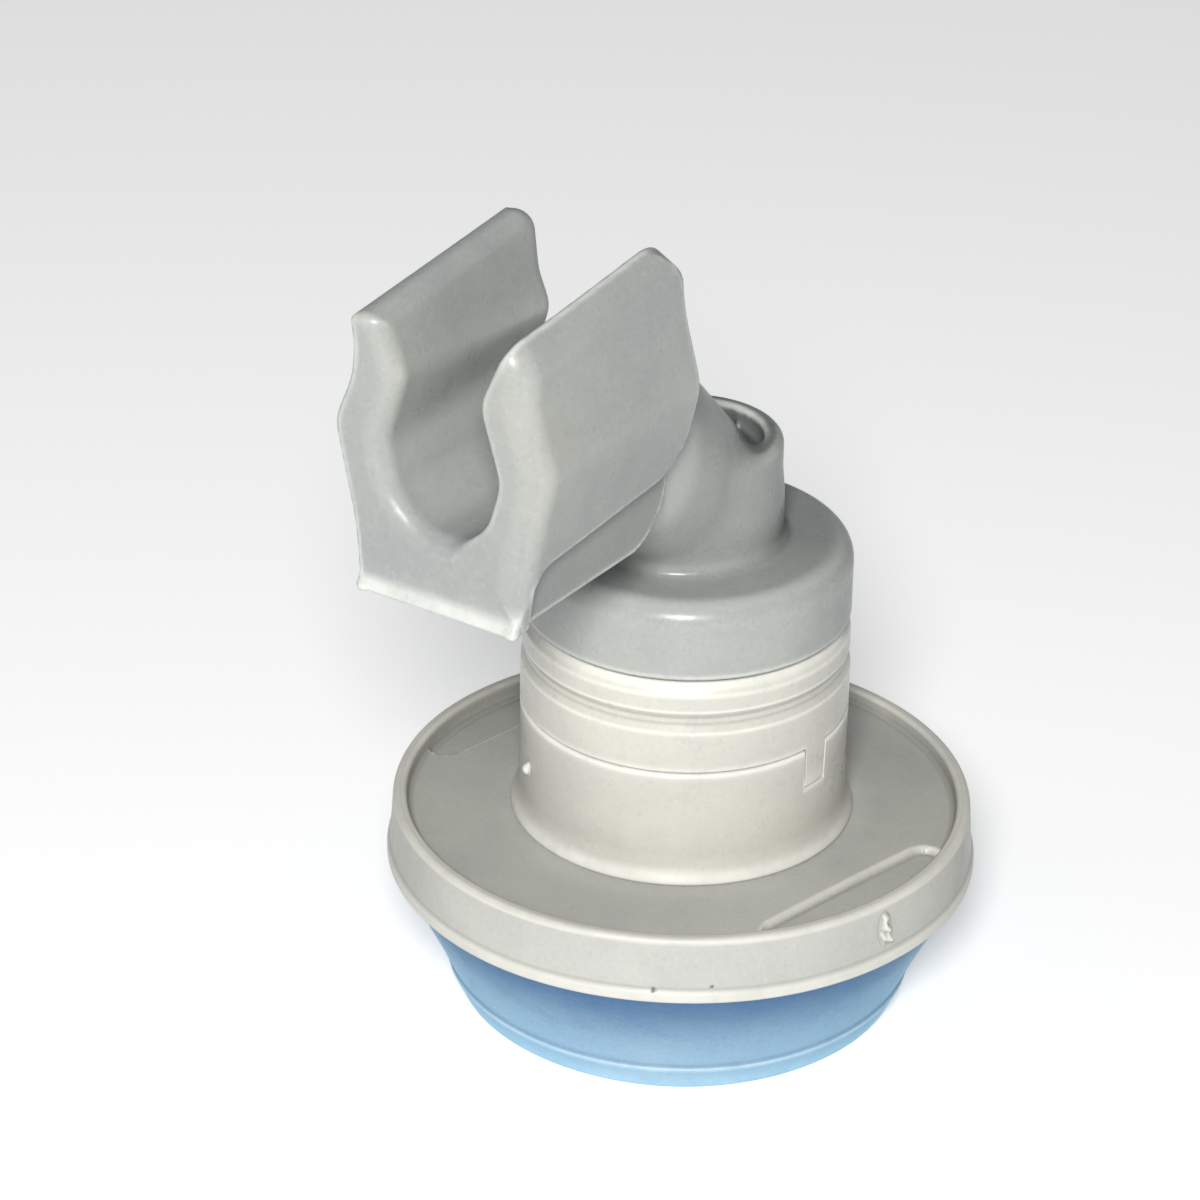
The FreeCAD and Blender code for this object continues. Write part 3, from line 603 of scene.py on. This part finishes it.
def makeSkirt(size):
    webLow = size["plateLevel"] - size["webThick"]
    slope = (size["topRadius"] - size["bottomRadius"]) / flangeLow
    beadRadius = size["bottomRadius"] + slope * size["beadHeight"]
    line = profileLine([
        (size["hub"], size["plateLevel"]), (size["hub"], webLow, 0.3),
        (size["topRadius"] - size["rootWall"], webLow, 2.0),
        (size["bottomRadius"] - size["wall"], 0.0, 0.7, 0.3),
        (size["bottomRadius"] + size["beadProud"], 0.0, 0.8, 0.2),
        (beadRadius + size["beadProud"], size["beadHeight"], 0.1, 0.1),
        (beadRadius, size["beadHeight"] + 0.25, 0.2, 0.3), (size["topRadius"], flangeLow, 0.0, 0.3),
        (size["spigot"], flangeLow), (size["spigot"], size["plateLevel"]),
    ])

    def reshape(radius, height, angle):
        # the soft wall is not quite round: a slow wave of two lobes and a shallow dip above the lip
        outside = step01(radius, 18.0 + height * slope, 18.6 + height * slope)
        wave = 0.05 * np.sin(2 * angle + 0.6) + 0.03 * np.sin(5 * angle)
        dip = -0.10 * np.exp(-((height - 6.5) / 2.6) ** 2)
        return radius + outside * (wave + dip) * step01(flangeLow - height, 0.0, 1.5), height

    points, quads = latheSurface(line, spreadAngles(size["columns"]), reshape)
    height = points[:, 2]
    # painted shade: darker towards the top, under the flange; painted light: paler towards the bottom lip
    shade = step01(height, 4.2, flangeLow - 0.4) ** 1.35
    lip = 0.4 * step01(height, 7.5, 3.0) + 0.6 * step01(height, 2.6, 0.5)
    piece = addPiece("stopperSkirt", points, quads, "base", "blueRubber",
                     pale=lip, deep=shade)
    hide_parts("stopper_skirt")


makeSkirt(skirt)


# dished flange

flange = {
    "topRadius": 25.0, "bottomRadius": 25.3, "beadProud": 0.25, "beadHeight": 0.9, "rimWall": 1.1,
    "floorDepth": 1.05, "floorFall": 0.25, "plateLevel": 14.85, "hub": 10.65, "spigot": 23.6,
    "footRadius": 15.9,
    "pocketChord": 19.25, "pocketHalf": 10.25, "pocketDepth": 0.6, "pocketCorner": 1.5,
    "gateAngle": -14.0, "gateOut": 0.7, "gateWide": 1.2, "gateTall": 2.9, "columns": 564,
    "flecks": ((-61.6, 13.8, 0.2), (-50.7, 14.2, 0.14)),    # angle, level and radius of two dark spots
}


def makeFlange(size):
    floor = rimTop - size["floorDepth"]
    inner = size["topRadius"] - size["rimWall"]
    bead = size["bottomRadius"] + size["beadProud"]
    line = profileLine([
        (size["hub"], size["plateLevel"]), (size["hub"], floor, 0.0, 1.0),
        (size["footRadius"], floor, 3.0, 0.13), (inner - 0.2, floor - size["floorFall"], 0.4, 0.12),
        (inner, rimTop, 0.35, 0.15), (size["topRadius"], rimTop, 0.5, 0.13),
        (size["bottomRadius"], flangeLow + size["beadHeight"] + 0.4, 0.4, 0.1),
        (bead, flangeLow + size["beadHeight"], 0.3, 0.2), (bead, flangeLow, 0.3, 0.5),
        (size["spigot"], flangeLow), (size["spigot"], size["plateLevel"]),
    ])

    def pocketMask(radius, angle, softness):
        # distance inside the D: past the chord, between the two ends and inside the rim, corners rounded
        mask = np.zeros_like(radius)
        for middle in (baseTurn, baseTurn + 180.0):
            away = np.radians(awayFrom(angle, middle))
            along, across = radius * np.cos(away), radius * np.sin(away)
            shape = np.abs(across) - size["pocketHalf"]
            shape = both(size["pocketChord"] - along, shape, size["pocketCorner"])
            shape = both(shape, radius - inner - 0.35, 0.3)
            mask = np.maximum(mask, step01(-shape, -softness, softness))
        return mask

    def reshape(radius, height, angle):
        upper = step01(height, size["plateLevel"] + 1.0, size["plateLevel"] + 1.2) * (radius < inner + 0.05)
        low = step01(rimTop - height, 0.15, 0.6)
        mask = pocketMask(radius, angle, 0.2)
        lip = 4.0 * mask * (1.0 - mask)    # a fine raised line along the pocket's edge
        moved = height - upper * low * (size["pocketDepth"] * mask - 0.06 * lip)
        # gate mark: a rough stub on the rim's outside, higher at its lower end
        across = np.radians(awayFrom(angle, size["gateAngle"])) * radius
        middle = rimTop - 1.0 - size["gateTall"] / 2
        rise = (height - middle) / (size["gateTall"] / 2)
        rough = 0.75 + 0.25 * np.sin(9.0 * rise + 2.0 * across) + 0.2 * np.cos(7.0 * across + 3.0 * rise)
        stub = step01(-(np.hypot(across / (size["gateWide"] / 2), rise) - 1.0), -0.15, 0.35)
        outside = step01(radius, size["topRadius"] - 0.1, size["topRadius"] - 0.02)
        wave = 0.04 * np.sin(3 * angle + 1.0) + 0.025 * np.sin(7 * angle)
        return radius + outside * (size["gateOut"] * stub * rough + wave), moved

    near = [(baseTurn, 34.0, 1.6), (baseTurn + 180.0, 34.0, 1.0), (size["gateAngle"], 2.2, 5.0),
            (-56.0, 7.0, 1.2)]
    points, quads = latheSurface(line, spreadAngles(size["columns"], near), reshape)
    x, y, height = points.T
    radius, angle = np.hypot(x, y), np.arctan2(y, x)
    mask = pocketMask(radius, angle, 0.2)
    onFloor = (radius < inner + 0.3) & (height > size["plateLevel"] + 0.5)
    # painted shade: the floor darker towards the rim and in the pockets
    shade = np.where(onFloor, 0.24 * step01(radius, 14.5, 17.5) + 0.15 * mask, 0.0)
    # painted highlights on the rim's inner top edge, on the bottom bead and along the pockets' edges
    rimEdge = 0.5 * step01(radius, inner - 0.1, inner + 0.4) * step01(height, rimTop - 0.5, rimTop - 0.05)
    beadEdge = 0.9 * step01(flangeLow + 1.5 - height, 0.0, 0.7) * (radius > size["topRadius"])
    chordEdge = np.where(onFloor, 3.6 * mask * (1.0 - mask), 0.0)
    dots = np.zeros(len(points))
    for middle, level, dot in size["flecks"]:
        away = np.hypot(np.radians(awayFrom(angle, middle)) * radius, height - level)
        dots = np.maximum(dots, step01(away, dot * 1.4, dot * 0.7) * (radius > size["topRadius"]))
    piece = addPiece("flangeDish", points, quads, "base", "whitePlastic",
                     pale=rimEdge + beadEdge + chordEdge, deep=shade, fleck=dots)
    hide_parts("flange_dish")


makeFlange(flange)


# lower neck with its inlet tube

barrel = {
    "radius": 14.1, "footFlare": 0.9, "footHeight": 2.0, "tubeRadius": 10.6, "tubeBore": 9.2,
    "inletBore": 8.4, "inletLength": 4.5, "upperBore": 11.2, "step": 1.2, "floor": 17.45,
    "shoulder": 27.86, "spigot": 12.15, "gasketFrom": 11.4, "gasketTo": 13.4, "gasketHigh": 0.8,
    "tabAngle": -4.5, "tabWide": 2.8, "tabDeep": 0.85,
    "recessLow": 24.2, "pipAngle": -126.0, "pipLevel": 22.9, "pipRadius": 0.55, "columns": 420,
}


def makeBarrel(size):
    radius, floor, shoulder = size["radius"], size["floor"], size["shoulder"]
    stepLevel = floor + size["step"]
    beadLevel = (shoulder + barrelTop) / 2
    line = profileLine([
        (size["inletBore"], 0.0, 0.3), (size["tubeRadius"], 0.0, 0.5, 1.4), (size["tubeRadius"], floor),
        (size["gasketFrom"], floor), (size["gasketFrom"], floor + size["gasketHigh"]),
        (size["gasketTo"], floor + size["gasketHigh"]), (size["gasketTo"], floor),
        (radius + size["footFlare"], floor, 0.3, 0.2), (radius, floor + size["footHeight"], 3.0, 0.2),
        (radius, size["recessLow"] - 0.04, 0.0, 0.1), (radius, size["recessLow"] + 0.04, 0.0, 0.3),
        (radius, shoulder, 0.2), (size["spigot"], shoulder), (size["spigot"], beadLevel - 0.5),
        (size["spigot"] + 0.3, beadLevel, 0.15), (size["spigot"], beadLevel + 0.5),
        (size["spigot"], barrelTop), (size["upperBore"], barrelTop),
        (size["upperBore"], stepLevel + size["upperBore"] - size["tubeBore"]),
        (size["tubeBore"], stepLevel, 0.0, 1.4), (size["tubeBore"], size["inletLength"]),
        (size["inletBore"], size["inletLength"]),
    ], 0.9)

    def reshape(r, height, angle):
        outside = step01(r, radius - 0.5, radius - 0.3) * step01(height, floor + 1.8, floor + 2.4)
        across = np.radians(awayFrom(angle, size["tabAngle"])) * radius
        recess = step01(size["tabWide"] / 2 - np.abs(across), -0.06, 0.06)
        recess = recess * step01(height - size["recessLow"], -0.03, 0.03)
        sunk = radius - size["tabDeep"] * recess * step01(height, 20.0, 21.0)
        r = np.where(recess < 0.001, r, np.minimum(r, sunk))
        away = np.hypot(np.radians(awayFrom(angle, size["pipAngle"])) * radius, height - size["pipLevel"])
        pip = np.sqrt(np.maximum(size["pipRadius"] ** 2 - away ** 2, 0.0))
        sink = -0.05 * np.exp(-((height - 24.4) / 1.8) ** 2)    # moulding sink under the groove
        return r + outside * (pip + sink * (recess < 0.001)), height

    near = [(size["tabAngle"] - 5.9, 0.8, 14.0), (size["tabAngle"] + 5.9, 0.8, 14.0),
            (size["pipAngle"], 2.6, 4.0)]
    points, quads = latheSurface(line, spreadAngles(size["columns"], near), reshape)
    onOutside = np.hypot(points[:, 0], points[:, 1]) > radius - 0.2
    # painted highlight on the flared foot
    foot = 1.3 * step01(floor + 1.7 - points[:, 2], 0.0, 1.2) * onOutside
    piece = addPiece("neckBarrel", points, quads, "base", "creamPlastic", pale=foot)
    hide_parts("neck_barrel")


makeBarrel(barrel)


# ribbed collar with its locking tab

collar = {
    "radius": 14.1, "bore": 12.2, "lipBore": 11.15, "bottom": 28.02, "lipThick": 1.1, "chamfer": 1.0,
    "ridgeLow": 31.75, "ridgeHigh": 33.7, "groove": 32.9, "grooveDeep": 0.35, "snap": 0.3,
    "beadLevel": 28.875,
    "tabAngle": -4.5, "tabWide": 2.5, "tabLong": 3.4, "tabDeep": 0.8, "columns": 400,
}


def makeCollar(size):
    radius, low, high, groove = size["radius"], size["ridgeLow"], size["ridgeHigh"], size["groove"]
    inset = radius - size["grooveDeep"]
    lipLow = collarTop - size["lipThick"]
    tabTop = size["bottom"]
    line = profileLine([
        (size["bore"], tabTop), (radius - size["tabDeep"], tabTop, 0.0, 0.4), (radius, tabTop, 0.2, 0.25),
        (radius, low, 0.5, 0.15), (inset, groove - 0.35, 0.25, 0.15), (inset, groove + 0.25, 0.25, 0.15),
        (radius - 0.08, high, 0.4, 0.2), (radius - 0.1, collarTop - size["chamfer"], 0.6, 0.2),
        (radius - 0.85, collarTop, 0.4, 0.3), (size["lipBore"], collarTop, 0.15), (size["lipBore"], lipLow),
        (size["bore"], lipLow), (size["bore"], size["beadLevel"] + 0.6),
        (size["bore"] + size["snap"], size["beadLevel"], 0.15),
        (size["bore"], size["beadLevel"] - 0.6),
    ])

    def reshape(r, height, angle):
        # the tab is the collar's lower edge drawn down between two angles
        across = np.radians(awayFrom(angle, size["tabAngle"])) * radius
        tab = step01(size["tabWide"] / 2 - np.abs(across), -0.05, 0.05)
        atEdge = step01(tabTop + 0.35 - height, 0.0, 0.3) * (r > radius - size["tabDeep"] - 0.01)
        return r, height - (size["tabLong"] + 0.3) * tab * atEdge

    near = [(size["tabAngle"] - 5.08, 0.6, 14.0), (size["tabAngle"] + 5.08, 0.6, 14.0)]
    points, quads = latheSurface(line, spreadAngles(size["columns"], near), reshape)
    # painted highlight on the top lip's chamfer
    lip = 0.9 * step01(points[:, 2], collarTop - 1.0, collarTop - 0.35)
    piece = addPiece("neckCollar", points, quads, "base", "creamPlastic", pale=lip)
    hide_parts("neck_collar")


makeCollar(collar)


# turning cap with boss and inclined arm

cap = {
    "radius": 14.0, "top": 43.5, "round": 2.0, "lowRound": 0.4, "cavity": 11.12, "ceiling": 40.25,
    "bossRadius": 7.75, "bossTop": 52.9, "bossRound": 0.9, "bossWall": 1.65, "bossRecess": 3.0,
    "armRadius": 7.3, "armAngle": 46.5, "armLevel": 46.0, "armTopRound": 1.6,
    "bore": 3.5, "boreOffset": 2.8, "outlet": 2.6, "outletLevel": 59.75, "airHole": 0.9, "airOffset": 5.3,
    "capBlend": 1.3, "bossBlend": 1.6, "cell": 0.26,
}


def armAxis(x, y, z, level, setBack=0.0):
    # distance from a line that climbs towards the trough at the arm's angle, and how far along it
    lean = np.radians(cap["armAngle"])
    along = -(y + setBack) * np.cos(lean) + (z - level) * np.sin(lean)
    return np.hypot(x, (y + setBack) * np.sin(lean) + (z - level) * np.cos(lean)), along


def armField(x, y, z, endRound, topRound):
    # round bar with a domed root, ended by the trough's end plane, the arm's top and the trough's underside
    across, along = armAxis(x, y, z, cap["armLevel"])
    arm = np.where(along > 0, across, np.hypot(across, along)) - cap["armRadius"]
    arm = both(both(arm, z - armTop, topRound), armEnd - y, endRound)
    arm = np.maximum(arm, cap["ceiling"] - z)
    return np.maximum(arm, np.minimum(troughBack - y, troughLow - z))


def boreField(x, y, z):
    # upright bore, then up along the arm, then level out through the arm's end face
    slope = np.tan(np.radians(cap["armAngle"]))
    bend = cap["armLevel"] + cap["boreOffset"] * slope
    turn = -cap["boreOffset"] - (cap["outletLevel"] - bend) / slope
    upright = np.maximum(np.hypot(x, y + cap["boreOffset"]), z - bend) - cap["bore"]
    ball = np.sqrt(x ** 2 + (y + cap["boreOffset"]) ** 2 + (z - bend) ** 2) - cap["bore"]
    across, along = armAxis(x, y, z, bend, cap["boreOffset"])
    run = (cap["outletLevel"] - bend) / np.sin(np.radians(cap["armAngle"]))
    slanted = np.maximum(across - cap["outlet"], np.maximum(-along, along - run))
    level = np.hypot(x, z - cap["outletLevel"])
    level = np.where(y < turn, level, np.hypot(level, y - turn)) - cap["outlet"]
    return np.minimum(np.minimum(upright, ball), np.minimum(slanted, level))


def capField(x, y, z):
    # below 0 is plastic: plate, boss and arm run together, less the boss's recess, the bore, the air hole and
    # the hollow underneath
    size = cap
    rho = np.hypot(x, y)
    plate = both(both(rho - size["radius"], z - size["top"], size["round"]), capLow - z, size["lowRound"])
    boss = both(rho - size["bossRadius"], z - size["bossTop"], size["bossRound"])
    boss = np.maximum(boss, size["ceiling"] - z)
    recess = both(rho - size["bossRadius"] + size["bossWall"], size["bossTop"] - size["bossRecess"] - z, 0.6)
    boss = both(boss, -recess, 0.4)
    arm = armField(x, y, z, 0.05, size["armTopRound"])
    body = either(either(boss, arm, size["bossBlend"]), plate, size["capBlend"])
    body = both(body, -boreField(x, y, z), 0.25)
    body = np.maximum(body, size["airHole"] - np.hypot(x, y - size["airOffset"]))
    return np.maximum(body, -np.maximum(rho - size["cavity"], z - size["ceiling"]))


def makeCap(size):
    reach = size["radius"] + 0.8
    low, high = (-reach, armEnd - 0.8, capLow - 0.8), (reach, reach, armTop + 0.8)
    points, quads = fieldSurface(capField, low, high, size["cell"])
    x, y, z = points.T
    rho = np.hypot(x, y)
    # painted highlight on the top's rounded rim
    rim = 0.3 * step01(z, size["top"] - 0.9, size["top"] - 0.2) * step01(rho, 11.5, 13.4)
    # painted shade: the top towards the back, the boss's recess, and the arm and boss above the top
    plateTop = 0.5 * step01(z - size["top"], -0.3, 0.1) * step01(y, -6.0, 6.0)
    plateTop = plateTop * step01(size["top"] - z, -2.5, -0.5)
    inBoss = 0.95 * step01(size["bossRadius"] - 0.4 - rho, 0.0, 0.6)
    inBoss = inBoss * step01(z, 47.0, 49.0) * step01(y, -2.0, 0.0)
    armShade = 0.3 * step01(z, size["top"] + 0.6, size["top"] + 2.4)
    piece = addPiece("turretCap", points, quads, "turret", "greyPlastic",
                     pale=rim, deep=plateTop + inBoss + armShade, sharp=60.0)
    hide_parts("turret_cap")


makeCap(cap)


# open pour trough

trough = {
    "frontHeight": 23.3, "backHeight": 25.5, "pinchDrop": 4.4, "tipRise": (0.5, 1.3),
    "floor": 6.3, "floorRound": 3.4, "channelFoot": 5.9,
    "outerWidths": (7.5, 8.1, 10.0, 8.3, 8.0, 8.5, 8.8),    # half-widths, from the bottom to above the tips
    "innerFront": (3.7, 5.7, 3.7, 5.7, 7.6), "innerBack": (3.7, 5.0, 3.9, 5.1, 5.7, 7.6),
    "tipRound": (0.8, 2.3), "bottomRound": 0.4, "backEdgeRound": 0.45, "backLowRound": 6.0,
    "backTopRound": (2.4, 4.2), "frontTopRound": (0.7, 1.2), "frontEdgeRound": (0.2, 2.2),
    "mouthRound": (1.7, 0.5), "panelFront": 4.7, "panelBack": 6.3, "panelLong": 18.5, "panelInset": 6.9,
    "panelStep": 0.4, "panelRound": 1.7, "panelRise": 5.0, "lipOut": 0.5, "lipHigh": 1.0,
    "nub": 0.5, "nubSide": 7.15, "nubLevel": 0.35, "cell": 0.26,
}    # a pair is for the far wing and the near wing


def wallTable(heights, widths, soften):
    # half-width against height: straight runs between the named points, softened by a bell-shaped average
    level = np.arange(-6.0, 34.0, 0.1)
    raw = np.interp(level, heights, widths)
    bell = np.exp(-0.5 * (np.arange(-40, 41) * 0.1 / soften) ** 2)
    smooth = np.convolve(np.pad(raw, 40, mode="edge"), bell / bell.sum(), "valid")
    return level, smooth


def troughTables(size):
    # the wings' half-widths outside and inside, at the front end and at the back end
    tables = {}
    for end in ("front", "back"):
        height = size[end + "Height"]
        pinch = height - size["pinchDrop"]
        levels = [0.0, 5.8, 14.0, pinch - 1.0, pinch + 2.0, height, height + 2.0]
        tables["outer" + end] = wallTable(levels, size["outerWidths"], 0.8)
    pinch = size["frontHeight"] - size["pinchDrop"]
    levels = [size["channelFoot"], pinch - 6.2, pinch, size["frontHeight"], size["frontHeight"] + 4.0]
    tables["innerfront"] = wallTable(levels, size["innerFront"], 0.7)
    pinch = size["backHeight"] - size["pinchDrop"]
    levels = [size["channelFoot"], pinch - 7.0, pinch - 3.6, pinch - 1.0, size["backHeight"],
              size["backHeight"] + 4.0]
    tables["innerback"] = wallTable(levels, size["innerBack"], 0.6)
    return tables


troughWalls = troughTables(trough)


def troughField(x, y, z):
    # below 0 is plastic: the wings' outside widths, less the open channel, less the arm that ends in it
    size = trough
    w, wide = z - troughLow, np.abs(x)
    near = step01(x, -0.5, 0.5)
    share = np.clip((y - troughFront) / (troughBack - troughFront), 0.0, 1.0)
    top = size["frontHeight"] + share * (size["backHeight"] - size["frontHeight"])

    def sided(name):
        return size[name][0] + near * (size[name][1] - size[name][0])

    def halfWidth(side):
        ends = [np.interp(w, *troughWalls[side + end]) for end in ("front", "back")]
        return ends[0] + share * (ends[1] - ends[0])

    top = top + sided("tipRise") * np.clip((8.0 - wide) / 2.4, 0.0, 1.2)
    # saddle: the outer wall steps in below the panels, and rises at the back
    along = (y - troughFront - 2.5) / size["panelLong"]
    line = size["panelFront"] + (size["panelBack"] - size["panelFront"]) * along
    under = both(w - line, troughFront + 2.1 + 0.08 * w - y, size["panelRound"])
    above = w - size["panelBack"]
    rise = both(above - size["panelRise"], troughBack - 1.0 + 0.32 * above - y, 1.5)
    stepIn = step01(-either(under, rise, 2.5), -size["panelStep"], size["panelStep"])
    outerWide = halfWidth("outer")
    outerWide = outerWide - stepIn * np.maximum(outerWide - size["panelInset"], 0.0)
    outer = (wide - outerWide) * 0.95
    channel = both((wide - halfWidth("inner")) * 0.93, size["floor"] - w, size["floorRound"])
    flare = size["lipOut"] * np.exp(-(np.maximum(w, 0.0) / size["lipHigh"]) ** 2)
    face = troughFront + 0.1 - flare - y
    frontRound = sided("frontEdgeRound") * step01(w, 0.5, 4.0) + 0.15
    body = both(both(outer, face, frontRound), -w, size["bottomRound"])
    body = both(both(body, w - top, sided("tipRound")), y - troughBack, size["backEdgeRound"])
    body = np.maximum(body, both(w - top, face, sided("frontTopRound")))
    body = np.maximum(body, both(w - top, y - troughBack, sided("backTopRound")))
    body = np.maximum(body, both(-w, y - troughBack, size["backLowRound"]))
    farRound, nearRound = size["mouthRound"]
    body = both(body, -channel, farRound + step01(x, 0.5, 3.5) * (nearRound - farRound))
    for place in (-1.0, 1.0):
        away = (x - place * size["nubSide"], y - troughFront - 0.1, w - size["nubLevel"])
        nub = np.sqrt(away[0] ** 2 + away[1] ** 2 + away[2] ** 2) - size["nub"]
        body = either(body, nub, 0.3)
    return np.maximum(body, -armField(x, y, z, 0.05, cap["armTopRound"]))


def makeTrough(size):
    low = (-10.6, troughFront - 1.2, troughLow - 0.8)
    high = (10.6, troughBack + 0.8, troughLow + size["backHeight"] + 1.6)
    points, quads = fieldSurface(troughField, low, high, size["cell"])
    x, y, z = points.T
    w = z - troughLow
    back = y - troughFront
    # painted light: a paler lip at the front foot and a paler channel inside
    lip = 1.3 * step01(back, 1.2, 0.6) * step01(w, 1.9, 0.5)
    inside = step01(5.9 - np.abs(x), 0.0, 0.8) * step01(w, 5.0, 7.5) * step01(w, 20.5, 17.5)
    inside = inside * step01(back, 0.3, 4.0)
    # painted shade: the saddle under the panels and the front face
    saddle = step01(7.5 - np.abs(x), 0.0, 0.3) * step01(w, 6.6, 5.6) * step01(back, 1.8, 2.8)
    face = 0.12 * step01(back, 1.0, 0.6) * step01(w, 1.6, 3.0)
    piece = addPiece("pourTrough", points, quads, "turret", "greyPlastic",
                     pale=lip + 0.25 * inside, deep=0.45 * saddle + face, sharp=60.0)
    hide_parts("pour_trough")


makeTrough(trough)


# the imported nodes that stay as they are

keptNodes = {
    "base_nut": "greyPlastic", "port_disc": "valvePlastic", "rotor_disc": "valvePlastic",
    "vent_tube": "whiteSlip", "vent_cage": "valvePlastic", "thrust_washer": "whiteSlip",
    "face_seal": "greySeal", "foot_gasket": "greySeal", "barrel_o_ring": "blackSeal",
    "turret_o_ring": "blackSeal", "air_port_ring": "blackSeal", "strainer_ring": "steel",
    "strainer_screen": "steel", "stop_pin": "steel", "cap_screws": "steel", "vent_ball": "steel",
}
for node, material in keptNodes.items():
    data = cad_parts[node].data
    for place in range(len(data.materials)):
        data.materials[place] = finish[material]
    if not len(data.materials):
        data.materials.append(finish[material])
print("packed nodes finished")
